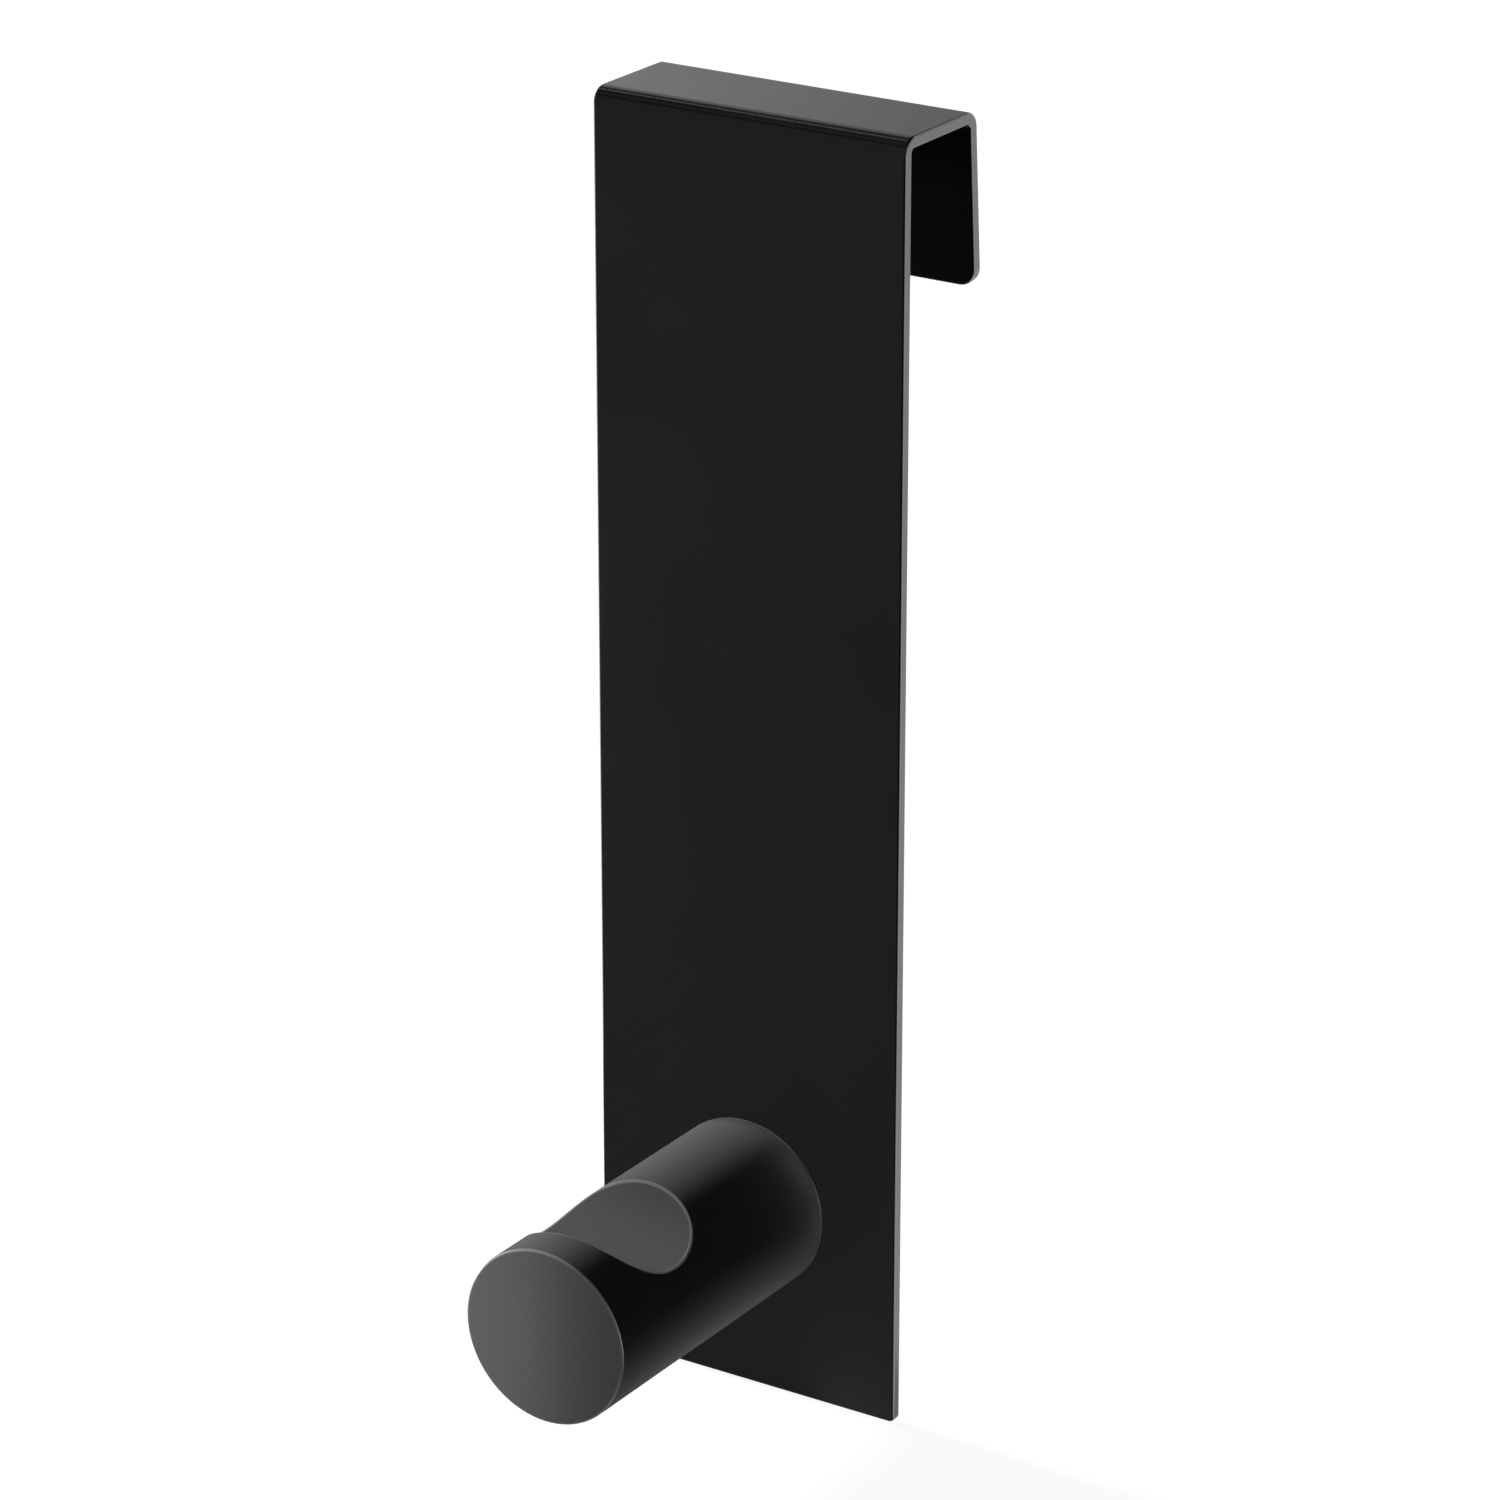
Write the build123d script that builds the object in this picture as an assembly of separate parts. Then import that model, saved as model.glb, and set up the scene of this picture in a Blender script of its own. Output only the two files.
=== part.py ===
from build123d import *
import math
import os

# Hook for the top edge of a fixed glass shower screen. Millimetres.
# Origin: centre of the bridge's underside, which sits on the glass edge.
# +X across the strip, +Y from the room side of the glass to the wet side, +Z up.

# Strip: one sheet folded over the glass
STRIP_WIDTH = 40.0
STRIP_HEIGHT = 152.0
SHEET = 1.4
GLASS_GAP = 12.0
BEND_INNER_RADIUS = 0.5
LIP_HEIGHT = 20.0
LIP_FLARE_DEG = 4.0
LEAF_CORNER_RADIUS = 0.7
LIP_CORNER_RADIUS = 2.0
SHEET_EDGE_ROUND = 0.3

# Peg: round bar with a scooped notch across its top
PEG_DIAMETER = 20.8
PEG_LENGTH = 41.0
PEG_AXIS_ABOVE_END = 23.0
PEG_NOSE_ROUND = 0.5
PEG_BASE_BREAK = 0.25
NOTCH_RADIUS = 9.2
NOTCH_DEPTH = 4.85
NOTCH_FROM_NOSE = 13.0
NOTCH_EDGE_ROUND = 0.25

# Countersunk socket screw that holds the peg from behind the front leaf
SCREW_DIAMETER = 4.0
SCREW_LENGTH = 12.0
SCREW_TIP_BREAK = 0.5
SCREW_HEAD_DIAMETER = 7.6
SCREW_HEAD_ANGLE_DEG = 90.0
SCREW_HEAD_RIM = 0.2
SCREW_HEAD_RECESS = 0.1
SOCKET_ACROSS_FLATS = 2.5
SOCKET_DEPTH = 1.2
SCREW_CLEARANCE = 0.05
BORE_PAST_TIP = 1.0

# Places worked out from the sizes above
TOP_Z = SHEET
END_Z = TOP_Z - STRIP_HEIGHT
LIP_END_Z = TOP_Z - LIP_HEIGHT
LEAF_BACK_Y = -GLASS_GAP / 2
PEG_AXIS_Z = END_Z + PEG_AXIS_ABOVE_END

# Frame of the peg and its screw: its +Z runs from the back of the front leaf
# towards the peg's nose, and its +Y is the strip's +Z.
PEG_FRAME = Location((0, LEAF_BACK_Y, PEG_AXIS_Z), (90, 0, 0))


def screw_outline(clearance, start, end, tip_break):
    """Half section of the screw, or of its hole where clearance is over 0.

    The first coordinate is the distance from the axis and the second the depth
    from the back face of the front leaf.
    """
    head_radius = SCREW_HEAD_DIAMETER / 2 + clearance
    shank_radius = SCREW_DIAMETER / 2 + clearance
    cone_start = SCREW_HEAD_RECESS + SCREW_HEAD_RIM
    cone_length = (head_radius - shank_radius) / math.tan(math.radians(SCREW_HEAD_ANGLE_DEG / 2))
    corners = [
        (0, start),
        (head_radius, start),
        (head_radius, cone_start),
        (shank_radius, cone_start + cone_length),
        (shank_radius, end - tip_break),
        (shank_radius - tip_break, end),
        (0, end),
    ]
    if tip_break == 0:
        corners.pop(-2)
    return make_face(Plane.XZ * Polyline(*corners, close=True))


def screw_hole():
    """Countersunk hole through the leaf and on into the peg as its blind bore."""
    section = screw_outline(SCREW_CLEARANCE, 0, SCREW_LENGTH + BORE_PAST_TIP, 0)
    return PEG_FRAME * revolve(section, Axis.Z)


def make_bracket():
    """Long front leaf, bridge and short flared lip, folded from one strip."""
    middle = SHEET / 2
    flare = math.radians(LIP_FLARE_DEG)
    # The fold line of the lip leans with it, so the sheet keeps its thickness.
    fold_y = GLASS_GAP / 2 + middle * (1 - math.sin(flare)) / math.cos(flare)
    drop = middle - LIP_END_Z - middle * math.sin(flare)
    path = Plane.YZ * FilletPolyline(
        (LEAF_BACK_Y - middle, END_Z),
        (LEAF_BACK_Y - middle, middle),
        (fold_y, middle),
        (fold_y + drop * math.tan(flare), middle - drop),
        radius=BEND_INNER_RADIUS + middle,
    )
    section = Pos(0, LEAF_BACK_Y - middle, END_Z) * Rectangle(STRIP_WIDTH, SHEET)
    strip = sweep(section, path)

    through_sheet = strip.edges().filter_by(lambda edge: abs(edge.length - SHEET) < SHEET / 100)
    ends = through_sheet.sort_by(Axis.Z)
    strip = fillet(ends[:2], LEAF_CORNER_RADIUS)
    through_sheet = strip.edges().filter_by(lambda edge: abs(edge.length - SHEET) < SHEET / 100)
    lip_corners = through_sheet.sort_by(Axis.Y)[-2:]
    strip = fillet(lip_corners, LIP_CORNER_RADIUS)

    # One edge of each skin is picked on each side: the round runs on from it
    # through the tangent bends and corners, all the way about the sheet.
    sides = strip.faces().filter_by(Axis.X)
    skin_edges = [edge for side in sides for edge in side.edges().sort_by(SortBy.LENGTH)[-2:]]
    strip = fillet(skin_edges, SHEET_EDGE_ROUND)
    return strip - screw_hole()


def make_peg():
    """Bar with a rounded nose, a scooped notch and a tapped bore in its base."""
    radius = PEG_DIAMETER / 2
    bar = Pos(0, 0, SHEET) * Cylinder(radius, PEG_LENGTH, align=(Align.CENTER, Align.CENTER, Align.MIN))
    rims = bar.edges().filter_by(GeomType.CIRCLE).sort_by(Axis.Z)
    bar = chamfer(rims[0], PEG_BASE_BREAK)
    rims = bar.edges().filter_by(GeomType.CIRCLE).sort_by(Axis.Z)
    bar = fillet(rims[-1], PEG_NOSE_ROUND)

    notch_height = radius - NOTCH_DEPTH + NOTCH_RADIUS
    notch_depth_along = SHEET + PEG_LENGTH - NOTCH_FROM_NOSE
    cutter = Pos(0, notch_height, notch_depth_along) * Rot(0, 90, 0) * Cylinder(NOTCH_RADIUS, 2 * PEG_DIAMETER)
    bar = bar - cutter
    notch_face = bar.faces().sort_by(lambda face: (face.center() - Vector(0, radius, notch_depth_along)).length)[0]
    bar = fillet(notch_face.edges(), NOTCH_EDGE_ROUND)
    return PEG_FRAME * bar - screw_hole()


def make_screw():
    """Countersunk machine screw with a hexagon socket."""
    screw = revolve(screw_outline(0, SCREW_HEAD_RECESS, SCREW_LENGTH, SCREW_TIP_BREAK), Axis.Z)
    hexagon = RegularPolygon(SOCKET_ACROSS_FLATS / 2, 6, major_radius=False)
    socket = Pos(0, 0, SCREW_HEAD_RECESS) * extrude(hexagon, SOCKET_DEPTH)
    return PEG_FRAME * (screw - socket)


os.makedirs("parts", exist_ok=True)
export_step(make_bracket(), "parts/bracket.step")
export_step(make_peg(), "parts/peg.step")
export_step(make_screw(), "parts/peg_screw.step")
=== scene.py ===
import math

import bmesh
import bpy
import numpy as np
from bpy.props import FloatProperty, FloatVectorProperty, PointerProperty
from bpy.types import Operator, Panel, PropertyGroup
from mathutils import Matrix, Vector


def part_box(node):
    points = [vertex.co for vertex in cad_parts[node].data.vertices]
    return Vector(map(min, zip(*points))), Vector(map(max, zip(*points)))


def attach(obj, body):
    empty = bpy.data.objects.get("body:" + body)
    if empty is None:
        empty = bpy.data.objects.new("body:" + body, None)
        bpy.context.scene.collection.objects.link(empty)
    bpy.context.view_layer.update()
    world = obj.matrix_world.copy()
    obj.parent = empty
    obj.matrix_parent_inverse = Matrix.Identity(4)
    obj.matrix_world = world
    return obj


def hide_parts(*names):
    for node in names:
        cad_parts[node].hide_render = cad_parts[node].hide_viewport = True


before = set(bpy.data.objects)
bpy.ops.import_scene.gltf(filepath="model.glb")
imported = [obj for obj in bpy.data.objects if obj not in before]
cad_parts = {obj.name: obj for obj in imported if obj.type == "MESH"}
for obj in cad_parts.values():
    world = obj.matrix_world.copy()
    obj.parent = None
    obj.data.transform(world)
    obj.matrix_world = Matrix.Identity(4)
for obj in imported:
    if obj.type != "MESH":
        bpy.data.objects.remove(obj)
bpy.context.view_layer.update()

bl_info = {
    "name": "Shower screen hook",
    "version": (1, 0, 0),
    "blender": (4, 5, 0),
    "location": "3D View > Sidebar > Hook",
    "description": "Builds a coated hook that folds over the top edge of a glass shower screen",
    "category": "Object",
}

# All sizes are metres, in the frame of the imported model: the origin is the
# centre of the bridge's underside, +X runs across the strip, -Y is the room
# side of the glass, where the peg stands, and +Z is up.

BRACKET_LOW, BRACKET_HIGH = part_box("bracket")
PEG_LOW, PEG_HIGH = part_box("peg")


def length(name, description, default):
    """A size in metres that the sidebar shows in the scene's units."""
    return FloatProperty(
        name=name, description=description, default=default, unit="LENGTH", precision=5, min=0.0,
    )


class StripSizes(PropertyGroup):
    width: length("Width", "Width of the strip across the glass edge", BRACKET_HIGH[0] - BRACKET_LOW[0])
    height: length("Height", "Height of the strip from its lower end to the top of the bridge", 0.152)
    sheet: length("Sheet", "Thickness of the sheet with its coat", 0.0014)
    gap: length("Glass gap", "Clear width of the fold over the glass", 0.012)
    bend: length("Inner bend", "Inner radius of both folds", 0.0005)
    lip: length("Lip height", "Height of the rear lip from its end to the top of the bridge", 0.020)
    flare: FloatProperty(
        name="Lip flare", description="Angle by which the lip leans away from the glass",
        default=math.radians(4.0), subtype="ANGLE",
    )
    leaf_corner: length("Leaf corner", "Corner radius at the lower end of the front leaf", 0.0007)
    lip_corner: length("Lip corner", "Corner radius at the end of the lip", 0.002)
    edge: length("Edge round", "Round along every edge of the sheet", 0.0003)


class PegSizes(PropertyGroup):
    diameter: length("Diameter", "Diameter of the peg", PEG_HIGH[0] - PEG_LOW[0])
    length: length("Length", "Length of the peg in front of the strip", PEG_HIGH[1] - PEG_LOW[1])
    above_end: length("Above end", "Height of the peg's axis above the strip's lower end", 0.023)
    nose: length("Nose round", "Round at the rim of the peg's free end", 0.0003)
    base: length("Base round", "Small round where the peg meets the strip", 0.0003)
    notch_radius: length("Notch radius", "Radius of the scooped notch", 0.0092)
    notch_depth: length("Notch depth", "Depth of the notch below the top of the peg", 0.00485)
    notch_place: length("Notch place", "Distance of the notch's middle from the free end", 0.013)
    notch_edge: length("Notch edge", "Round along the rim of the notch", 0.0003)


class ScrewSizes(PropertyGroup):
    diameter: length("Diameter", "Thread diameter", 0.004)
    length: length("Length", "Length from the back of the leaf to the tip", 0.012)
    head: length("Head", "Diameter of the countersunk head", 0.0076)
    recess: length("Recess", "Depth of the head below the back of the leaf", 0.0001)
    rim: length("Rim", "Straight rim of the head", 0.0002)
    socket: length("Socket", "Width of the hexagon socket across its flats", 0.0025)
    socket_depth: length("Socket depth", "Depth of the hexagon socket", 0.0012)
    pitch: length("Pitch", "Rise of the thread in one turn", 0.0007)
    clearance: length("Clearance", "Gap between the screw and its hole", 0.00005)
    bore_past_tip: length("Bore past tip", "Depth of the blind bore past the screw's tip", 0.001)


def colour(name, description, default):
    """A colour with three parts, as linear values."""
    return FloatVectorProperty(
        name=name, description=description, default=default, size=3, subtype="COLOR", min=0.0, max=1.0,
    )


def share(name, description, default):
    """A plain factor from zero to one."""
    return FloatProperty(
        name=name, description=description, default=default, min=0.0, max=1.0, subtype="FACTOR",
    )


class HookFinish(PropertyGroup):
    strip_colour: colour("Strip colour", "Colour of the strip's smooth coat", (0.006, 0.006, 0.006))
    strip_roughness: share("Strip roughness", "Roughness of the strip's smooth coat", 0.2)
    peg_colour: colour("Peg colour", "Colour of the peg's matt coat", (0.09, 0.09, 0.09))
    peg_roughness: share("Peg roughness", "Roughness of the peg's matt coat", 0.5)
    screw_colour: colour("Screw colour", "Colour of the blackened screw", (0.03, 0.03, 0.03))
    screw_roughness: share("Screw roughness", "Roughness of the blackened screw", 0.38)


class HookStudio(PropertyGroup):
    camera_place: FloatVectorProperty(
        name="Camera place", description="Where the camera stands",
        default=(0.333574, -0.523233, 0.167308), size=3, subtype="TRANSLATION", unit="LENGTH",
    )
    camera_turn: FloatProperty(
        name="Camera turn", description="Turn of the camera about the vertical",
        default=math.radians(32.855), subtype="ANGLE",
    )
    camera_dip: FloatProperty(
        name="Camera dip", description="Angle by which the camera looks down",
        default=math.radians(21.272), subtype="ANGLE",
    )
    camera_lens: FloatProperty(
        name="Camera lens", description="Focal length of the camera",
        default=141.67, subtype="DISTANCE_CAMERA",
    )
    lamp_level: FloatProperty(
        name="Lamp level", description="Multiplies the strength of every lamp", default=1.0, min=0.0,
    )


class Shell:
    """Patches of one closed skin, kept as grids and welded where their borders meet."""

    def __init__(self):
        self.points = []
        self.highlight_rows = []
        self.cells = []
        self.total = 0

    def add(self, grid, keep=None, rim=0.0):
        """Adds a grid of points, rows by columns by three, as quads.

        Keep picks the cells. Rim says for each row how strongly a highlight is painted into the coat's
        colour there, from zero to one.
        """
        rows, columns = grid.shape[:2]
        index = np.arange(rows * columns).reshape(rows, columns) + self.total
        cells = np.stack([index[:-1, :-1], index[1:, :-1], index[1:, 1:], index[:-1, 1:]], axis=-1)
        self.cells.append(cells.reshape(-1, 4) if keep is None else cells[keep])
        self.points.append(grid.reshape(-1, 3))
        self.highlight_rows.append(np.repeat(np.broadcast_to(rim, rows), columns))
        self.total += rows * columns

    def piece(self, name, finish, body, node):
        """Welds the patches into one closed mesh and puts it in the place of its CAD node."""
        mesh = bpy.data.meshes.new(name)
        mesh.from_pydata(np.concatenate(self.points), [], np.concatenate(self.cells))
        # The rim attribute carries the highlight painted into the peg's coat along its edges.
        painted_highlight = mesh.attributes.new("rim", "FLOAT", "POINT")
        painted_highlight.data.foreach_set("value", np.concatenate(self.highlight_rows))
        skin = bmesh.new()
        skin.from_mesh(mesh)
        bmesh.ops.remove_doubles(skin, verts=skin.verts, dist=1e-6)
        bmesh.ops.dissolve_degenerate(skin, edges=skin.edges, dist=1e-8)
        bmesh.ops.recalc_face_normals(skin, faces=skin.faces)
        gaps = sum(not edge.is_manifold for edge in skin.edges)
        if gaps or skin.calc_volume() <= 0:
            raise RuntimeError(f"the skin of {name} is open along {gaps} edges or inside out")
        skin.to_mesh(mesh)
        skin.free()
        mesh.shade_smooth()
        mesh.set_sharp_from_angle(angle=math.radians(30.0))
        mesh.materials.append(finish)
        made = bpy.data.objects.new(name, mesh)
        bpy.context.scene.collection.objects.link(made)
        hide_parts(node)
        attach(made, body)
        return made


def border(first, second):
    """Corner-to-corner loop round a rectangle of two rising lists of values, as pairs."""
    low = np.stack([first[:-1], np.full(len(first) - 1, second[0])], axis=1)
    right = np.stack([np.full(len(second) - 1, first[-1]), second[:-1]], axis=1)
    high = np.stack([first[:0:-1], np.full(len(first) - 1, second[-1])], axis=1)
    left = np.stack([np.full(len(second) - 1, first[0]), second[:0:-1]], axis=1)
    return np.concatenate([low, right, high, left])


def between(outer, inner, shares):
    """Closed band between two loops: each point runs straight to its partner, by shares."""
    part = np.asarray(shares)[:, None, None]
    band = outer * (1 - part) + inner * part
    return np.concatenate([band, band[:, :1]], axis=1)


def joined(*parts):
    """Rising list of stations from several lists, with repeats taken out."""
    return np.unique(np.round(np.concatenate([np.atleast_1d(part) for part in parts]), 9))


def near_hole(across, along, place, half_across, half_along):
    """Marks the cells whose middle lies in a rectangle about a hole at one place along."""
    beside = np.abs((across[1:] + across[:-1]) / 2) < half_across
    level = np.abs((along[1:] + along[:-1]) / 2 - place) < half_along
    return level[:, None] & beside[None, :]


def fold_line(size):
    """Measures of the sheet's middle line, from the leaf's end to the lip's.

    They are the height of its foot, its place in front of the glass, the radius of
    both folds, the angle of the second fold, and where each of its five runs ends.
    """
    middle = size.sheet / 2
    radius = size.bend + middle
    foot = size.sheet - size.height
    front = -size.gap / 2 - middle
    rear = size.gap / 2 + middle * (1 - math.sin(size.flare)) / math.cos(size.flare)
    drop = middle - (size.sheet - size.lip) - middle * math.sin(size.flare)
    turn = math.pi / 2 - size.flare
    trim = radius * math.tan(turn / 2)
    runs = np.cumsum([
        middle - foot - radius,
        radius * math.pi / 2,
        rear - front - radius - trim,
        radius * turn,
        drop / math.cos(size.flare) - trim,
    ])
    return foot, front, radius, turn, runs


def folded(across, along, out, size):
    """Point of the folded sheet: its place across, its place along the middle line, and
    its distance out from that line.

    The line runs straight up the leaf, round a quarter turn, straight over the glass,
    round the second turn and straight down the lip. Each turn adds radius times one
    minus cosine to one axis and radius times sine to the other.
    """
    foot, front, radius, turn, runs = fold_line(size)
    up_leaf = np.minimum(along, runs[0])
    first = np.clip((along - runs[0]) / radius, 0, math.pi / 2)
    over = np.clip(along - runs[1], 0, runs[2] - runs[1])
    second = np.clip((along - runs[2]) / radius, 0, turn)
    down_lip = np.maximum(along - runs[3], 0)
    y = front + radius * (1 - np.cos(first)) + over + radius * np.sin(second) + down_lip * math.cos(turn)
    z = foot + up_leaf + radius * np.sin(first) - radius * (1 - np.cos(second)) - down_lip * math.sin(turn)
    heading = first + second
    across, y, z, out, heading = np.broadcast_arrays(across, y, z, out, heading)
    return np.stack([across, y - out * np.cos(heading), z + out * np.sin(heading)], axis=-1)


def build_strip(size, peg, screw, finish):
    """Folded strip: two skins, a rounded edge that runs all about, and the screw's hole.

    Both skins are one grid of the flat pattern, drawn in from its outline by a little
    more than the edge round. The edge is a half-round profile carried about the
    outline. All of it is then bent by the fold line.
    """
    shell = Shell()
    half = size.sheet / 2
    # Lines this close to a round or a fold keep the flats beside it even.
    skin_ease = 0.00006
    side_ease = 0.00005
    fold_ease = 0.00012
    inset = size.edge + skin_ease
    span = fold_line(size)[4]
    side = size.width / 2 - inset
    steps = np.linspace(0, math.pi / 2, 9)

    low_turn = size.leaf_corner - inset
    high_turn = size.lip_corner - inset
    low_rows = inset + low_turn * (1 - np.cos(steps))
    high_rows = span[4] - inset - high_turn * (1 - np.cos(steps[::-1]))
    # A square block of the grid is left out about the hole, which is place up from the foot.
    block = 0.0055
    block_lines = 17
    beside_lines = 4
    place = peg.above_end
    mid_rows = joined(
        np.linspace(low_rows[-1], place - block, 5),
        np.linspace(place - block, place + block, block_lines),
        np.linspace(place + block, span[0] - fold_ease, 10),
        np.linspace(span[0], span[1], 21),
        np.linspace(span[1] + fold_ease, span[2] - fold_ease, 5),
        np.linspace(span[2], span[3], 21),
        np.linspace(span[3] + fold_ease, high_rows[0], 5),
    )[1:-1]
    along = np.concatenate([low_rows, mid_rows, high_rows])
    wide = np.concatenate([
        side - low_turn * (1 - np.sin(steps)),
        np.full(len(mid_rows), side),
        side - high_turn * (1 - np.sin(steps[::-1])),
    ])
    across = joined(
        np.linspace(-side, -block, beside_lines),
        np.linspace(-block, block, block_lines),
        np.linspace(block, side, beside_lines),
    ) / side
    pattern = np.stack(np.broadcast_arrays(wide[:, None] * across, along[:, None]), axis=-1)

    lean = np.concatenate([steps, np.full(len(mid_rows), math.pi / 2), math.pi - steps[::-1]])
    facing = np.stack([np.sin(lean), -np.cos(lean)], axis=1)
    ends = np.zeros((len(across) - 2, 2))
    outline = np.concatenate([
        pattern[0, 1:-1], pattern[:, -1], pattern[-1, -2:0:-1], pattern[::-1, 0],
    ])
    towards = np.concatenate([
        ends + (0, -1), facing, ends + (0, 1), facing[::-1] * (-1, 1),
    ])

    turn = np.linspace(0, math.pi / 2, 8)
    inward = np.concatenate([[inset], size.edge * (1 - np.sin(turn)), [0.0]])
    height = np.concatenate([[half], half - size.edge * (1 - np.cos(turn)), [half - size.edge - side_ease]])
    inward = np.concatenate([inward, inward[::-1]])[:, None, None]
    height = np.concatenate([height, -height[::-1]])[:, None]
    rim = outline + (inset - inward) * towards
    rim = np.concatenate([rim, rim[:, :1]], axis=1)
    shell.add(folded(rim[..., 0], rim[..., 1], height, size))

    hole = near_hole(across * side, along, place, block, block)
    block_across = across[beside_lines - 1:beside_lines - 1 + block_lines] * side
    frame_loop = border(block_across, np.linspace(place - block, place + block, block_lines))
    angle = -0.75 * math.pi + np.linspace(0, 2 * math.pi, len(frame_loop), endpoint=False)
    circle = np.stack([np.cos(angle), np.sin(angle)], axis=1)
    back = screw.head / 2 + screw.clearance
    neck = back - (size.sheet - screw.recess - screw.rim)
    for out, radius in ((-half, back), (half, neck)):
        shell.add(folded(pattern[..., 0], pattern[..., 1], out, size), keep=~hole)
        band = between(frame_loop, circle * radius + (0, place), (0, 0.4, 0.75, 0.95, 1))
        shell.add(folded(band[..., 0], band[..., 1], out, size))
    wall = np.array([[back, -half], [back, -half + screw.recess + screw.rim], [neck, half]])
    circle = np.concatenate([circle, circle[:1]])
    ring = circle * wall[:, :1, None] + (0, place)
    shell.add(folded(ring[..., 0], ring[..., 1], wall[:, 1:], size))
    return shell.piece("strip", finish, "root", "bracket")


def axis_height(strip, peg):
    """Height of the peg's axis."""
    return strip.sheet - strip.height + peg.above_end


def on_peg(radius, angle, depth, strip, peg):
    """Point about the peg's axis: its radius, its angle from straight up, and its depth
    from the back of the front leaf towards the free end."""
    radius, angle, depth = np.broadcast_arrays(radius, angle, depth)
    return np.stack([
        radius * np.sin(angle), -strip.gap / 2 - depth, axis_height(strip, peg) + radius * np.cos(angle),
    ], axis=-1)


def notch_edge(turn, strip, peg):
    """Centre of a ball that rolls inside the notch's edge, the two ways to its contacts,
    and the centre's lean about the notch's axis.

    The centre keeps the ball's radius inside the bar and beyond the notch's cylinder.
    The lean goes as the sine of the turn, so the loop closes smoothly at its two ends.
    """
    bar = peg.diameter / 2 - peg.notch_edge
    scoop = peg.notch_radius + peg.notch_edge
    height = peg.diameter / 2 - peg.notch_depth + peg.notch_radius
    lean = math.acos((height - bar) / scoop) * np.sin(turn)
    up = height - scoop * np.cos(lean)
    sideways = np.sign(np.cos(turn)) * np.sqrt(np.maximum(bar ** 2 - up ** 2, 0))
    depth = strip.sheet + peg.length - peg.notch_place + scoop * np.sin(lean)
    centre = np.stack([sideways, up, depth], axis=-1)
    to_bar = np.stack([sideways / bar, up / bar, np.zeros_like(up)], axis=-1)
    to_notch = np.stack([np.zeros_like(up), np.cos(lean), -np.sin(lean)], axis=-1)
    return centre, to_bar, to_notch, lean


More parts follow.
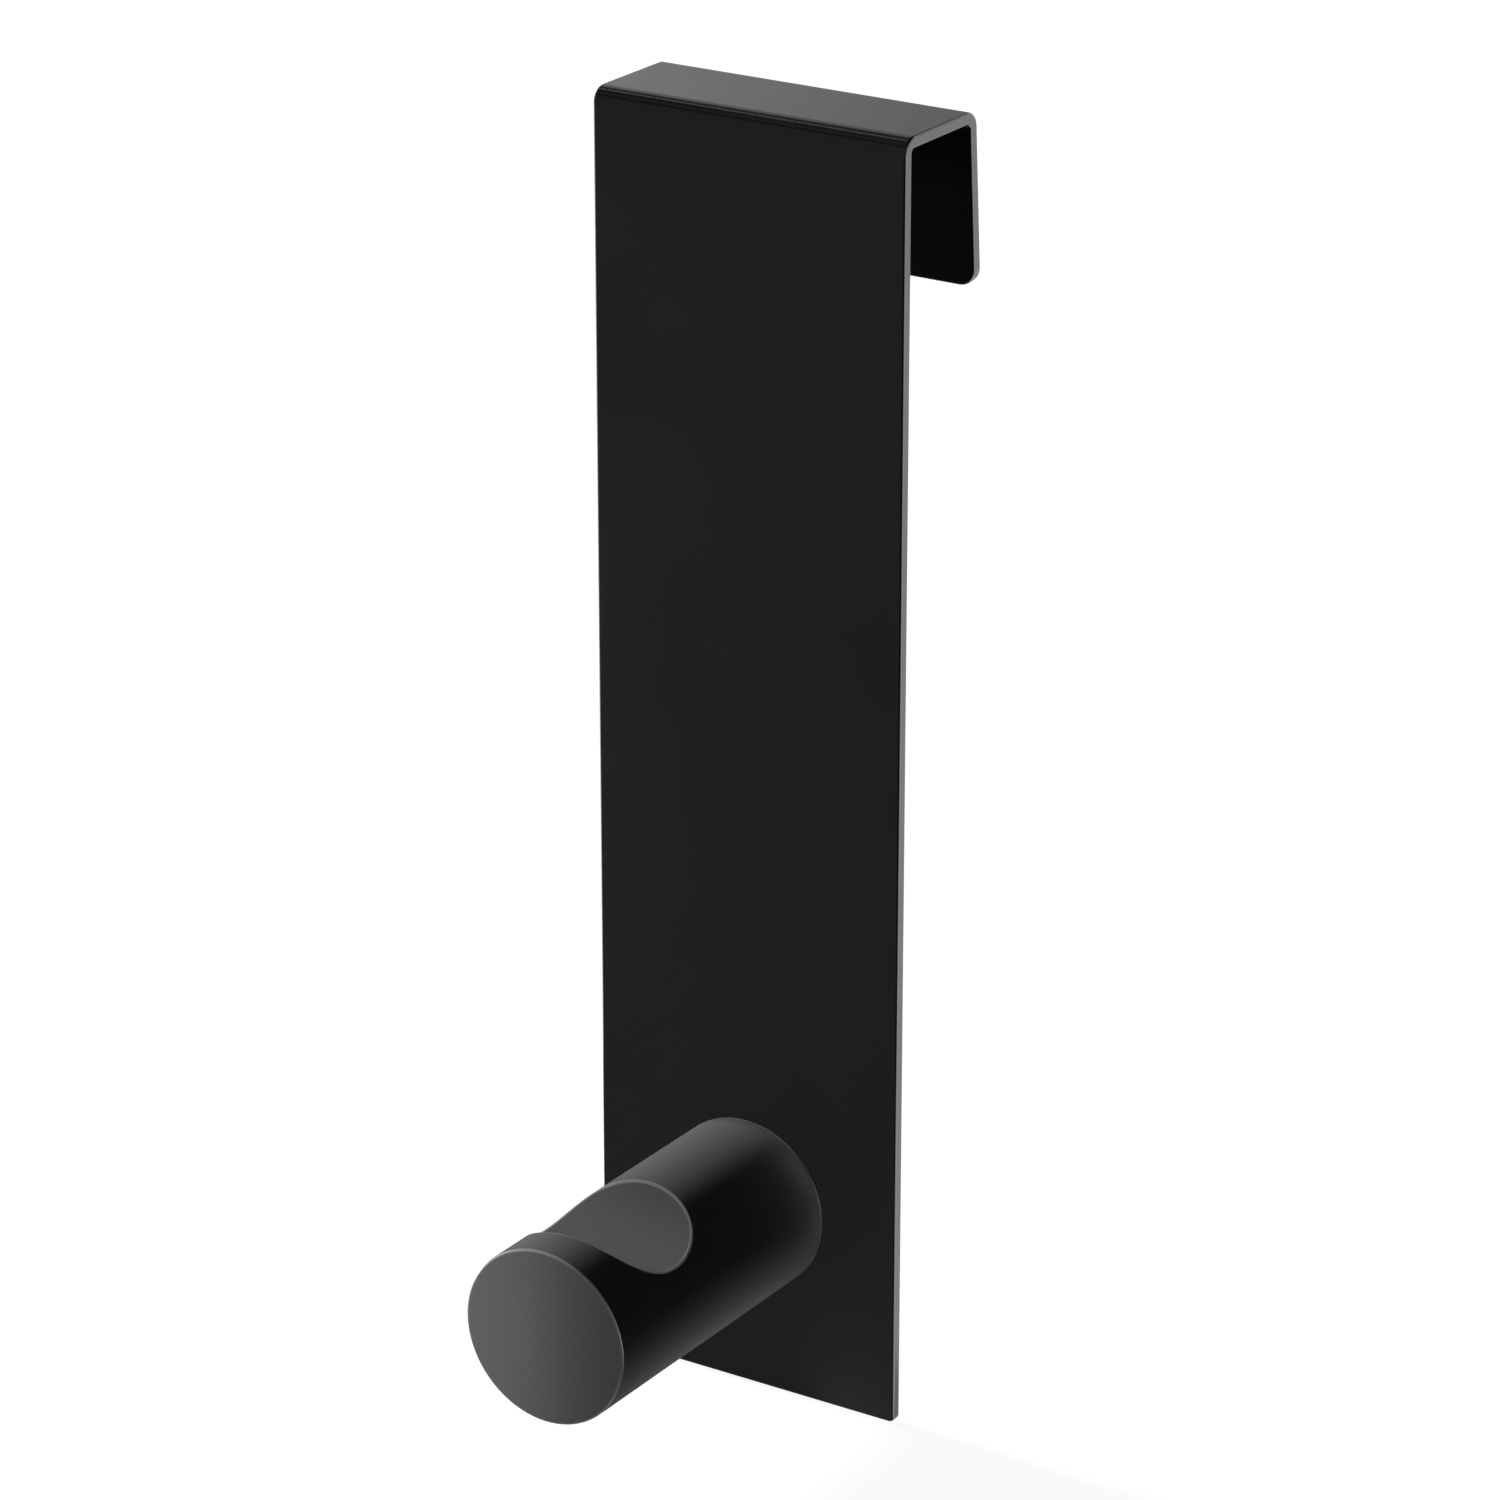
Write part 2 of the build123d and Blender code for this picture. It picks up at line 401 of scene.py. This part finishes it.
def build_peg(strip, peg, screw, finish):
    """Turned bar with a scooped notch across its top and a tapped bore in its base.

    The bar is a profile turned about its axis, with a block left out under the notch.
    A band closes the block up to the notch's rim, the rim is the path of a rolling
    ball, and the notch's floor is a grid on its own cylinder. A highlight is painted into
    the coat's colour along the nose, the notch's rim and the foot of the side.
    """
    shell = Shell()
    radius = peg.diameter / 2
    start = strip.sheet
    end = start + peg.length
    middle = end - peg.notch_place
    ease = 0.0001
    # The highlight painted along the foot of the side fades out over this length.
    highlight_foot = 0.0003
    # The block is this much longer and wider than the notch's rim.
    spare_reach = 0.0013
    spare_swing = 0.2
    rings = 9

    widest = notch_edge(np.array([0.0, math.pi / 2]), strip, peg)[0]
    reach = widest[1, 2] - middle + spare_reach
    swing = math.atan2(widest[0, 0], widest[0, 1]) + spare_swing
    block_angle = np.linspace(-swing, swing, 41)
    block_depth = np.linspace(middle - reach, middle + reach, 29)
    angle = np.concatenate([block_angle[:-1], np.linspace(swing, 2 * math.pi - swing, 65)])
    side_start = start + peg.base
    side_end = end - peg.nose
    depth = joined(
        np.linspace(side_start + ease, block_depth[0], 9),
        block_depth,
        np.linspace(block_depth[-1], side_end - ease, 3),
        [side_start, side_start + highlight_foot, side_end],
    )
    hole = near_hole(angle, depth, middle, swing, reach)
    # Painted highlight at the foot of the side, fading out away from the base.
    side_highlight = np.clip(1 - (depth - side_start) / highlight_foot, 0, 1)
    shell.add(on_peg(radius, angle[None, :], depth[:, None], strip, peg), keep=~hole, rim=side_highlight)

    turn = np.linspace(0, math.pi / 2, rings)
    nose_radius = np.concatenate([
        radius - peg.nose * (1 - np.cos(turn)),
        [radius - peg.nose - ease],
        np.linspace(radius - peg.nose - ease, 0, rings)[1:],
    ])
    nose_depth = np.concatenate([side_end + peg.nose * np.sin(turn), np.full(rings, end)])
    # Painted highlight on the nose's round, strongest halfway round it.
    nose_highlight = np.concatenate([np.sin(2 * turn), np.zeros(rings)])
    shell.add(on_peg(nose_radius[:, None], angle[None, :], nose_depth[:, None], strip, peg), rim=nose_highlight)

    bore = screw.diameter / 2 + screw.clearance
    mouth = screw.head / 2 + screw.clearance - (start - screw.recess - screw.rim)
    bottom = screw.length + screw.bore_past_tip
    base_radius = np.concatenate([
        radius - peg.base * (1 - np.cos(turn)),
        [radius - peg.base - ease],
        np.linspace(radius - peg.base - ease, mouth, 6)[1:],
        [bore, bore, 0.0],
    ])
    base_depth = np.concatenate([
        side_start - peg.base * np.sin(turn),
        np.full(6, start),
        [start + mouth - bore, bottom, bottom],
    ])
    # Painted highlight over the whole round at the base.
    base_highlight = np.concatenate([np.ones(rings), np.zeros(rings)])
    shell.add(on_peg(base_radius[:, None], angle[None, :], base_depth[:, None], strip, peg), rim=base_highlight)

    block = border(block_angle, block_depth)
    loop_turn = np.arctan2((block[:, 1] - middle) / reach, block[:, 0] / swing)
    centre, to_bar, to_notch, lean = notch_edge(loop_turn, strip, peg)
    contact = centre + to_bar * peg.notch_edge
    contact = np.stack([np.arctan2(contact[:, 0], contact[:, 1]), contact[:, 2]], axis=1)
    band = between(block, contact, (0, 0.35, 0.65, 0.85, 0.95, 1))
    shell.add(on_peg(radius, band[..., 0], band[..., 1], strip, peg))

    spread = np.arccos(np.clip(np.sum(to_bar * to_notch, axis=1), -1, 1))[None, :, None]
    part = np.linspace(0, 1, 8)[:, None, None]
    way = (np.sin((1 - part) * spread) * to_bar + np.sin(part * spread) * to_notch) / np.sin(spread)
    rim = centre + peg.notch_edge * way
    rim = np.concatenate([rim, rim[:, :1]], axis=1)
    # Painted highlight over the notch's round, full from a third of the way across it.
    shell.add(on_peg(
        np.hypot(rim[..., 0], rim[..., 1]), np.arctan2(rim[..., 0], rim[..., 1]), rim[..., 2], strip, peg,
    ), rim=np.minimum(1, 3 * part[:, 0, 0]))

    height = radius - peg.notch_depth + peg.notch_radius
    core = 0.6
    floor_across = np.linspace(-core, core, len(block_angle)) * radius * 0.8
    floor_lean = np.linspace(-core, core, len(block_depth)) * np.max(lean)
    inner = border(floor_across, floor_lean)
    outer = np.stack([centre[:, 0], lean], axis=1)
    floor = np.stack(np.broadcast_arrays(floor_across[None, :], floor_lean[:, None]), axis=-1)
    edge = between(outer, inner, (0, 0.02, 0.05, 0.2, 0.45, 0.7, 1))
    # Painted highlight on the two outer rows of the notch's floor, beside its round.
    edge_highlight = (1, 1, 0, 0, 0, 0, 0)
    for patch, patch_highlight in ((edge, edge_highlight), (floor, 0)):
        up = height - peg.notch_radius * np.cos(patch[..., 1])
        into = middle + peg.notch_radius * np.sin(patch[..., 1])
        skin = on_peg(np.hypot(patch[..., 0], up), np.arctan2(patch[..., 0], up), into, strip, peg)
        shell.add(skin, rim=patch_highlight)
    return shell.piece("peg_body", finish, "root", "peg")


def build_screw(strip, peg, screw, finish):
    """Countersunk screw: a turned profile, a hexagon socket and a fine helical thread.

    Chip is the small break of its edges, tip the height of the cone at its end, and
    mouth the width of the socket's chamfer over that of the socket.
    The thread takes its depth times a flattened triangle wave off the shank's radius.
    The wave's phase is the depth over the pitch less the angle over a full turn.
    """
    shell = Shell()
    sectors = 72
    angle = np.linspace(0, 2 * math.pi, sectors + 1)
    top = screw.recess
    head = screw.head / 2
    shank = screw.diameter / 2
    chip = 0.00008
    cone_start = top + screw.rim
    cone_end = cone_start + head - shank
    tip = 0.0005
    mouth = 1.07
    thread_depth = 0.55 * screw.pitch

    hexagon = screw.socket / 2 / np.cos(np.mod(angle, math.pi / 3) - math.pi / 6)
    socket_rim = (hexagon * mouth)[:-1, None]
    head_rim = np.full((sectors, 1), head - chip)
    face = between(socket_rim, head_rim, (0, 0.05, 0.3, 0.6, 0.95, 1))[..., 0]
    shell.add(on_peg(face, angle[None, :], top, strip, peg))
    well = hexagon * np.array([mouth, 1.0, 1.0, 0.94, 0.5, 0.0])[:, None]
    bottom = top + screw.socket_depth
    well_depth = np.array([top, top + chip, bottom - chip, bottom, bottom, bottom])
    shell.add(on_peg(well, angle[None, :], well_depth[:, None], strip, peg))

    head_radius = np.array([head - chip, head, head, shank + chip, shank])
    head_depth = np.array([top, top + chip, cone_start, cone_end - chip, cone_end + chip])
    shell.add(on_peg(head_radius[:, None], angle[None, :], head_depth[:, None], strip, peg))

    thread_end = screw.length - tip
    rows = np.linspace(cone_end + chip, thread_end, 106)[:, None]
    phase = np.mod(rows / screw.pitch - angle[None, :] / (2 * math.pi), 1.0)
    wave = np.clip(1.32 - 2.8 * np.abs(phase - 0.5), 0, 1)
    fade_in = np.clip((rows - rows[0]) / screw.pitch, 0, 1)
    fade_out = np.clip((rows[-1] - rows) / screw.pitch * 2, 0, 1)
    cut = thread_depth * wave * (fade_in * fade_out)
    shell.add(on_peg(shank - cut, angle[None, :], rows, strip, peg))

    tip_radius = np.array([shank, shank - tip, (shank - tip) / 2, 0.0])
    tip_depth = np.array([thread_end, screw.length, screw.length, screw.length])
    shell.add(on_peg(tip_radius[:, None], angle[None, :], tip_depth[:, None], strip, peg))
    return shell.piece("screw", finish, "root", "peg_screw")


def new_finish(name):
    """Empty material with its shader, its nodes and its links at hand."""
    made = bpy.data.materials.new(name)
    made.use_nodes = True
    nodes = made.node_tree.nodes
    links = made.node_tree.links
    place = nodes.new("ShaderNodeTexCoord")
    return made, nodes, links, nodes["Principled BSDF"], place.outputs["Object"]


def noise(nodes, links, place, scale, detail=2.0):
    """Noise on the object's own coordinates, with its scale in bumps to the metre."""
    node = nodes.new("ShaderNodeTexNoise")
    node.inputs["Scale"].default_value = scale
    node.inputs["Detail"].default_value = detail
    links.new(place, node.inputs["Vector"])
    return node.outputs["Fac"]


def spread_over(nodes, links, value, low, high, start=0.3, end=0.7):
    """Maps the values from start to end, the middle of a noise's range, onto low to high."""
    node = nodes.new("ShaderNodeMapRange")
    node.inputs["From Min"].default_value = start
    node.inputs["From Max"].default_value = end
    node.inputs["To Min"].default_value = low
    node.inputs["To Max"].default_value = high
    links.new(value, node.inputs["Value"])
    return node.outputs["Result"]


def tinted(nodes, links, value, tone, low, high):
    """Colour that wanders between two shares of one tone."""
    node = nodes.new("ShaderNodeMix")
    node.data_type = "RGBA"
    node.inputs["A"].default_value = (*[part * low for part in tone], 1.0)
    node.inputs["B"].default_value = (*[part * high for part in tone], 1.0)
    links.new(value, node.inputs["Factor"])
    return node.outputs["Result"]


def raised(nodes, links, value, strength, distance, under=None):
    """Bump from a height, laid over another bump where one is given."""
    node = nodes.new("ShaderNodeBump")
    node.inputs["Strength"].default_value = strength
    node.inputs["Distance"].default_value = distance
    links.new(value, node.inputs["Height"])
    if under is not None:
        links.new(under, node.inputs["Normal"])
    return node.outputs["Normal"]


def smooth_coat(look):
    """Satin black coat of the strip: near mirror-smooth, with a faint orange-peel."""
    made, nodes, links, shader, place = new_finish("strip_coat")
    cloud = noise(nodes, links, place, 70.0, 3.0)
    peel = noise(nodes, links, place, 900.0)
    grain = noise(nodes, links, place, 6000.0)
    links.new(tinted(nodes, links, cloud, look.strip_colour, 0.8, 1.2), shader.inputs["Base Color"])
    rough = look.strip_roughness
    links.new(spread_over(nodes, links, cloud, rough * 0.92, rough * 1.08), shader.inputs["Roughness"])
    under = raised(nodes, links, peel, 0.5, 0.000004)
    links.new(raised(nodes, links, grain, 0.5, 0.0000005, under), shader.inputs["Normal"])
    shader.inputs["IOR"].default_value = 1.5
    shader.inputs["Specular IOR Level"].default_value = 0.5
    return made


def matt_coat(look):
    """Matt black coat of the peg: fine dry grain that spreads the light.

    Where the mesh's rim is one, on its edges, a highlight is painted into the coat: its
    colour is paler there, and the coat is also smoother and more specular.
    """
    # Painted highlight: the coat's colour is this many times paler along the edges.
    highlight_paler = 1.9
    edge_roughness = 0.28
    made, nodes, links, shader, place = new_finish("peg_coat")
    grain = noise(nodes, links, place, 4500.0, 3.0)
    rim = nodes.new("ShaderNodeAttribute")
    rim.attribute_name = "rim"
    highlight_share = rim.outputs["Fac"]
    # Painted highlight: the base colour mixes towards the paler tone by the rim attribute.
    highlighted = nodes.new("ShaderNodeMix")
    highlighted.data_type = "RGBA"
    highlighted.inputs["B"].default_value = (*[part * highlight_paler for part in look.peg_colour], 1.0)
    links.new(tinted(nodes, links, grain, look.peg_colour, 0.86, 1.14), highlighted.inputs["A"])
    links.new(highlight_share, highlighted.inputs["Factor"])
    links.new(highlighted.outputs["Result"], shader.inputs["Base Color"])
    rough = spread_over(nodes, links, highlight_share, look.peg_roughness, edge_roughness, 0.0, 1.0)
    links.new(rough, shader.inputs["Roughness"])
    sheen = spread_over(nodes, links, highlight_share, 0.0, 1.0, 0.0, 1.0)
    links.new(sheen, shader.inputs["Specular IOR Level"])
    links.new(raised(nodes, links, grain, 0.6, 0.000004), shader.inputs["Normal"])
    shader.inputs["IOR"].default_value = 1.5
    return made


def black_oxide(look):
    """Blackened steel of the screw: dull, with an uneven sheen and a fine grain."""
    made, nodes, links, shader, place = new_finish("screw_steel")
    cloud = noise(nodes, links, place, 900.0, 3.0)
    grain = noise(nodes, links, place, 8000.0)
    links.new(tinted(nodes, links, cloud, look.screw_colour, 0.7, 1.4), shader.inputs["Base Color"])
    rough = look.screw_roughness
    links.new(spread_over(nodes, links, cloud, rough * 0.8, rough * 1.2), shader.inputs["Roughness"])
    links.new(raised(nodes, links, grain, 0.4, 0.000003), shader.inputs["Normal"])
    shader.inputs["Specular IOR Level"].default_value = 0.6
    return made


def background_ray(nodes, links):
    """The ray's kinds, and one for a ray from the camera, off gloss or through glass, which
    sees the background."""
    path = nodes.new("ShaderNodeLightPath")
    first = nodes.new("ShaderNodeMath")
    first.operation = "MAXIMUM"
    links.new(path.outputs["Is Camera Ray"], first.inputs[0])
    links.new(path.outputs["Is Glossy Ray"], first.inputs[1])
    both = nodes.new("ShaderNodeMath")
    both.operation = "MAXIMUM"
    links.new(first.outputs["Value"], both.inputs[0])
    links.new(path.outputs["Is Transmission Ray"], both.inputs[1])
    return path, both.outputs["Value"]


def light_world(ambient):
    """White all round for the background, and a low even light for the rest."""
    world = bpy.data.worlds.new("studio")
    bpy.context.scene.world = world
    world.use_nodes = True
    nodes = world.node_tree.nodes
    links = world.node_tree.links
    nodes.clear()
    shows = background_ray(nodes, links)[1]
    white = nodes.new("ShaderNodeBackground")
    white.inputs["Color"].default_value = (1, 1, 1, 1)
    low = nodes.new("ShaderNodeBackground")
    low.inputs["Color"].default_value = (1, 1, 1, 1)
    low.inputs["Strength"].default_value = ambient
    mix = nodes.new("ShaderNodeMixShader")
    links.new(shows, mix.inputs["Fac"])
    links.new(low.outputs["Background"], mix.inputs[1])
    links.new(white.outputs["Background"], mix.inputs[2])
    out = nodes.new("ShaderNodeOutputWorld")
    links.new(mix.outputs["Shader"], out.inputs["Surface"])


def floor_finish(tone, bounce, glow, camera_share):
    """Pale floor: lit by the lamps, and white enough by itself to close with the background.

    A camera ray sees a mix of the two, so the object's shadow stays. A ray off gloss
    or through glass sees the plain white, and the light it throws back up is low.
    """
    made = bpy.data.materials.new("floor")
    made.use_nodes = True
    nodes = made.node_tree.nodes
    links = made.node_tree.links
    nodes.clear()
    path, shows = background_ray(nodes, links)
    less = nodes.new("ShaderNodeMath")
    less.operation = "MULTIPLY_ADD"
    less.inputs[1].default_value = camera_share - 1
    links.new(path.outputs["Is Camera Ray"], less.inputs[0])
    links.new(shows, less.inputs[2])
    lit = nodes.new("ShaderNodeBsdfDiffuse")
    paint = nodes.new("ShaderNodeMix")
    paint.data_type = "RGBA"
    paint.inputs["A"].default_value = (bounce, bounce, bounce, 1)
    paint.inputs["B"].default_value = (tone, tone, tone, 1)
    links.new(path.outputs["Is Camera Ray"], paint.inputs["Factor"])
    links.new(paint.outputs["Result"], lit.inputs["Color"])
    white = nodes.new("ShaderNodeEmission")
    white.inputs["Strength"].default_value = glow
    mix = nodes.new("ShaderNodeMixShader")
    links.new(less.outputs["Value"], mix.inputs["Fac"])
    links.new(lit.outputs["BSDF"], mix.inputs[1])
    links.new(white.outputs["Emission"], mix.inputs[2])
    out = nodes.new("ShaderNodeOutputMaterial")
    links.new(mix.outputs["Shader"], out.inputs["Surface"])
    return made


def glow_finish(name, strength, fade=None):
    """Plain sheet that shows one even tone, or that fades along X where two places are given."""
    made = bpy.data.materials.new(name)
    made.use_nodes = True
    nodes = made.node_tree.nodes
    links = made.node_tree.links
    nodes.clear()
    glow = nodes.new("ShaderNodeEmission")
    glow.inputs["Strength"].default_value = strength
    if fade is not None:
        place = nodes.new("ShaderNodeTexCoord")
        split = nodes.new("ShaderNodeSeparateXYZ")
        links.new(place.outputs["Object"], split.inputs["Vector"])
        faded = spread_over(nodes, links, split.outputs["X"], 0.0, strength, *fade)
        links.new(faded, glow.inputs["Strength"])
    out = nodes.new("ShaderNodeOutputMaterial")
    links.new(glow.outputs["Emission"], out.inputs["Surface"])
    return made


def stage_sheet(name, corners, finish, faces=None):
    """Sheet of the stage from its corners: one flat face where no faces are given."""
    mesh = bpy.data.meshes.new(name)
    mesh.from_pydata(np.asarray(corners, float), [], faces or [list(range(len(corners)))])
    mesh.materials.append(finish)
    made = bpy.data.objects.new(name, mesh)
    bpy.context.scene.collection.objects.link(made)
    return made


def standing(line, low, high):
    """Corners and faces of a wall that stands on a line of places."""
    line = np.asarray(line, float)
    corners = np.concatenate([np.insert(line, 2, low, axis=1), np.insert(line, 2, high, axis=1)])
    count = len(line)
    return corners, [(n, n + 1, n + 1 + count, n + count) for n in range(count - 1)]


def studio_card(name, corners, strength, faces=None, fade=None):
    """Card that only reflections see: a dark one keeps them deep, a bright one lifts them."""
    made = stage_sheet(name, corners, glow_finish(name, strength, fade), faces)
    made.visible_camera = False
    made.visible_diffuse = False
    made.visible_shadow = False
    made.visible_transmission = False


def soft_lamp(name, place, aim, size, power, in_gloss=False):
    """Flat lamp that faces the aim, and that the camera doesn't see."""
    data = bpy.data.lights.new(name, "AREA")
    data.shape = "RECTANGLE"
    data.size, data.size_y = size
    data.energy = power
    made = bpy.data.objects.new(name, data)
    bpy.context.scene.collection.objects.link(made)
    place = np.asarray(place, float)
    back = place - np.asarray(aim, float)
    back /= np.linalg.norm(back)
    made.location = place
    made.rotation_euler = (math.acos(back[2]), 0.0, math.atan2(back[0], -back[1]))
    made.visible_camera = False
    made.visible_glossy = in_gloss
    return made


def far_lamp(name, towards, spread, power):
    """Sun that stands in the given way, with its spread in degrees, and that gloss doesn't show."""
    data = bpy.data.lights.new(name, "SUN")
    data.angle = math.radians(spread)
    data.energy = power
    made = bpy.data.objects.new(name, data)
    bpy.context.scene.collection.objects.link(made)
    towards = np.asarray(towards, float)
    towards /= np.linalg.norm(towards)
    made.rotation_euler = (math.acos(towards[2]), 0.0, math.atan2(towards[0], -towards[1]))
    made.visible_glossy = False


def set_floor(ground):
    """Wide pale floor, a little below the strip's lower end."""
    wide = 6.0
    corners = [(-wide, -wide, ground), (wide, -wide, ground), (wide, wide, ground), (-wide, wide, ground)]
    stage_sheet("floor", corners, floor_finish(tone=0.9, bounce=0.15, glow=1.1, camera_share=0.85))


def set_cards(strip, low):
    """Room that the reflections show: dim ahead of the strip, dark above it, and bright at
    its sides and behind it."""
    high = 0.30
    side_high = 0.8
    room = 0.9
    front = -strip.gap / 2 - strip.sheet
    foot = strip.width / 2 + 0.0005
    # Name, strength, height, and the places of the corners.
    level_cards = (
        ("card_front", 0.21, low, [
            (-room, -room), (0.05, -room), (foot, front), (-foot, front), (-room, -0.67),
        ]),
        ("card_front_right", 0.0, low, [
            (0.05, -room), (room, -room), (room, -0.16), (0.075, -0.05), (foot, front),
        ]),
        ("card_left", 5.0, low, [(-room, -0.60), (-0.10, -0.07), (-0.10, 0.03), (-room, 0.25)]),
        ("card_foot", 0.21, low, [(-0.10, -0.10), (-foot, -0.10), (-foot, 0.06), (-0.10, 0.06)]),
        ("card_edge", 4.5, low, [
            (foot, front), (0.075, -0.05), (0.79, -0.145), (0.79, 0.69), (0.06, 0.034),
        ]),
        ("card_right", 2.0, low, [
            (foot, 0.0), (0.06, 0.034), (0.79, 0.69), (0.60, 0.80), (0.25, 0.85),
        ]),
        ("card_back", 0.2, low, [
            (-0.6, 0.48), (-0.12, 0.29), (0.05, 0.30), (0.05, 0.9), (-0.6, 0.9),
        ]),
        ("card_above", 0.02, high, [(-room, -0.33), (room, -0.33), (room, 0.47), (-room, 0.47)]),
        ("card_ahead", 0.20, high, [(-room, -room), (room, -room), (room, -0.33), (-room, -0.33)]),
        ("card_line", 0.3, high - 0.002, [(-0.40, -0.17), (0.0, -0.17), (0.0, -0.12), (-0.40, -0.12)]),
    )
    for name, strength, height, corners in level_cards:
        studio_card(name, [(*corner, height) for corner in corners], strength)
    # Name, strength, bottom, top, the line it stands on, and the places where it fades.
    standing_cards = (
        ("card_room", 0.20, low, high, [
            (-room, -0.60), (-room, -room), (room, -room), (room, -0.33),
        ], None),
        ("card_side", 2.0, low, side_high, [(room, -0.15), (0.75, 0.80)], None),
        ("card_behind", 2.2, low, side_high, [(0.74, 0.82), (0.0, 0.90), (-0.22, 0.80)], None),
        ("card_top", 1.15, -0.03, 0.25, [(-0.043, 0.246), (-0.217, 0.125)], (-0.022, -0.217)),
    )
    for name, strength, bottom, top, line, fade in standing_cards:
        walls, faces = standing(line, bottom, top)
        studio_card(name, walls, strength, faces, fade)


def set_lamps(strip, peg, low, level):
    """Two suns, four small lamps close to the peg, and one above that gloss shows."""
    front = -strip.gap / 2 - strip.sheet
    axis = axis_height(strip, peg)
    far_lamp("lamp_left", (-0.80, 0.0, 0.44), spread=12.0, power=5.2 * level)
    far_lamp("lamp_front", (0.0, -1.0, 0.0), spread=4.0, power=1.3 * level)

    # Left of the free end and a little ahead of it, so its face darkens to the right.
    place = np.array([-0.0415, -0.0564, axis])
    soft_lamp("lamp_nose", place, place + (0, 1, 0), size=(0.084, 0.045), power=0.0130 * level)
    # On the floor below the peg's right side.
    place = np.array([0.0145, -0.030, low])
    soft_lamp("lamp_under", place, place + (0, 0, 1), size=(0.010, 0.044), power=0.0052 * level)

    # Flat on the leaf with their long sides along the peg's base, so their light dies away
    # along the peg.
    from_axis = peg.diameter / 2 + 0.0025
    off_leaf = 0.00006
    for name, turn in (("lamp_base_right", math.radians(76.0)), ("lamp_base_top", math.radians(30.0))):
        across = from_axis * math.sin(turn)
        up = axis + from_axis * math.cos(turn)
        place = np.array([across, front - off_leaf, up])
        base = soft_lamp(name, place, place - (0, 1, 0), size=(0.014, 0.005), power=0.00014 * level)
        base.rotation_euler = (-math.pi / 2, turn, 0.0)
    place = (-0.16, 0.025, 0.272)
    soft_lamp("lamp_top", place, (0, 0, 0), size=(0.015, 0.20), power=0.03 * level, in_gloss=True)


def set_camera(scene, studio):
    """Camera at the angle of the photographed hook, and the plain view of its picture."""
    data = bpy.data.cameras.new("camera")
    data.lens = studio.camera_lens
    data.clip_start = 0.01
    camera = bpy.data.objects.new("camera", data)
    scene.collection.objects.link(camera)
    camera.location = studio.camera_place
    camera.rotation_euler = (math.pi / 2 - studio.camera_dip, 0.0, studio.camera_turn)
    scene.camera = camera
    scene.view_settings.view_transform = "Standard"


def settings(scene):
    """The three groups of sizes, and the group of colours and roughnesses."""
    return scene.hook_strip, scene.hook_peg, scene.hook_screw, scene.hook_finish


class HOOK_OT_strip(Operator):
    """Builds the folded strip with its rounded edges"""

    bl_idname = "hook.strip"
    bl_label = "Strip"

    def execute(self, context):
        strip, peg, screw, look = settings(context.scene)
        build_strip(strip, peg, screw, smooth_coat(look))
        return {"FINISHED"}


class HOOK_OT_peg(Operator):
    """Builds the round peg with its scooped notch"""

    bl_idname = "hook.peg"
    bl_label = "Peg"

    def execute(self, context):
        strip, peg, screw, look = settings(context.scene)
        made = build_peg(strip, peg, screw, matt_coat(look))
        # The photographed strip shows no image of the peg in its gloss.
        made.visible_glossy = False
        return {"FINISHED"}


class HOOK_OT_screw(Operator):
    """Builds the countersunk screw behind the peg"""

    bl_idname = "hook.screw"
    bl_label = "Screw"

    def execute(self, context):
        strip, peg, screw, look = settings(context.scene)
        made = build_screw(strip, peg, screw, black_oxide(look))
        # With the peg gone from the gloss, the screw would show there by itself.
        made.visible_glossy = False
        return {"FINISHED"}


class HOOK_OT_stage(Operator):
    """Sets the floor, the background, the lamps and the camera"""

    bl_idname = "hook.stage"
    bl_label = "Stage"

    def execute(self, context):
        scene = context.scene
        strip = scene.hook_strip
        studio = scene.hook_studio
        # The cards lie just over the floor, and both are under the strip's lower end.
        ground = strip.sheet - strip.height - 0.0003
        low = ground + 0.0002
        light_world(ambient=0.015)
        set_floor(ground)
        set_cards(strip, low)
        set_lamps(strip, scene.hook_peg, low, studio.lamp_level)
        set_camera(scene, studio)
        return {"FINISHED"}


class HOOK_PT_sidebar(Panel):
    """Lists the steps and the values of the hook"""

    bl_idname = "HOOK_PT_sidebar"
    bl_label = "Shower screen hook"
    bl_space_type = "VIEW_3D"
    bl_region_type = "UI"
    bl_category = "Hook"

    def draw(self, context):
        layout = self.layout
        for step in STEPS:
            layout.operator(step.bl_idname)
        for group_name in GROUPS:
            group = getattr(context.scene, group_name)
            box = layout.box()
            for name in group.__annotations__:
                box.prop(group, name)


STEPS = (HOOK_OT_strip, HOOK_OT_peg, HOOK_OT_screw, HOOK_OT_stage)
GROUPS = {
    "hook_strip": StripSizes,
    "hook_peg": PegSizes,
    "hook_screw": ScrewSizes,
    "hook_finish": HookFinish,
    "hook_studio": HookStudio,
}


def register():
    for kind in (*GROUPS.values(), *STEPS, HOOK_PT_sidebar):
        bpy.utils.register_class(kind)
    for name, kind in GROUPS.items():
        setattr(bpy.types.Scene, name, PointerProperty(type=kind))


def unregister():
    for name in GROUPS:
        delattr(bpy.types.Scene, name)
    for kind in (HOOK_PT_sidebar, *reversed(STEPS), *reversed(GROUPS.values())):
        bpy.utils.unregister_class(kind)


def main():
    """Builds the hook step by step."""
    register()
    bpy.ops.hook.strip()
    bpy.ops.hook.peg()
    bpy.ops.hook.screw()
    bpy.ops.hook.stage()


if __name__ == "__main__":
    main()
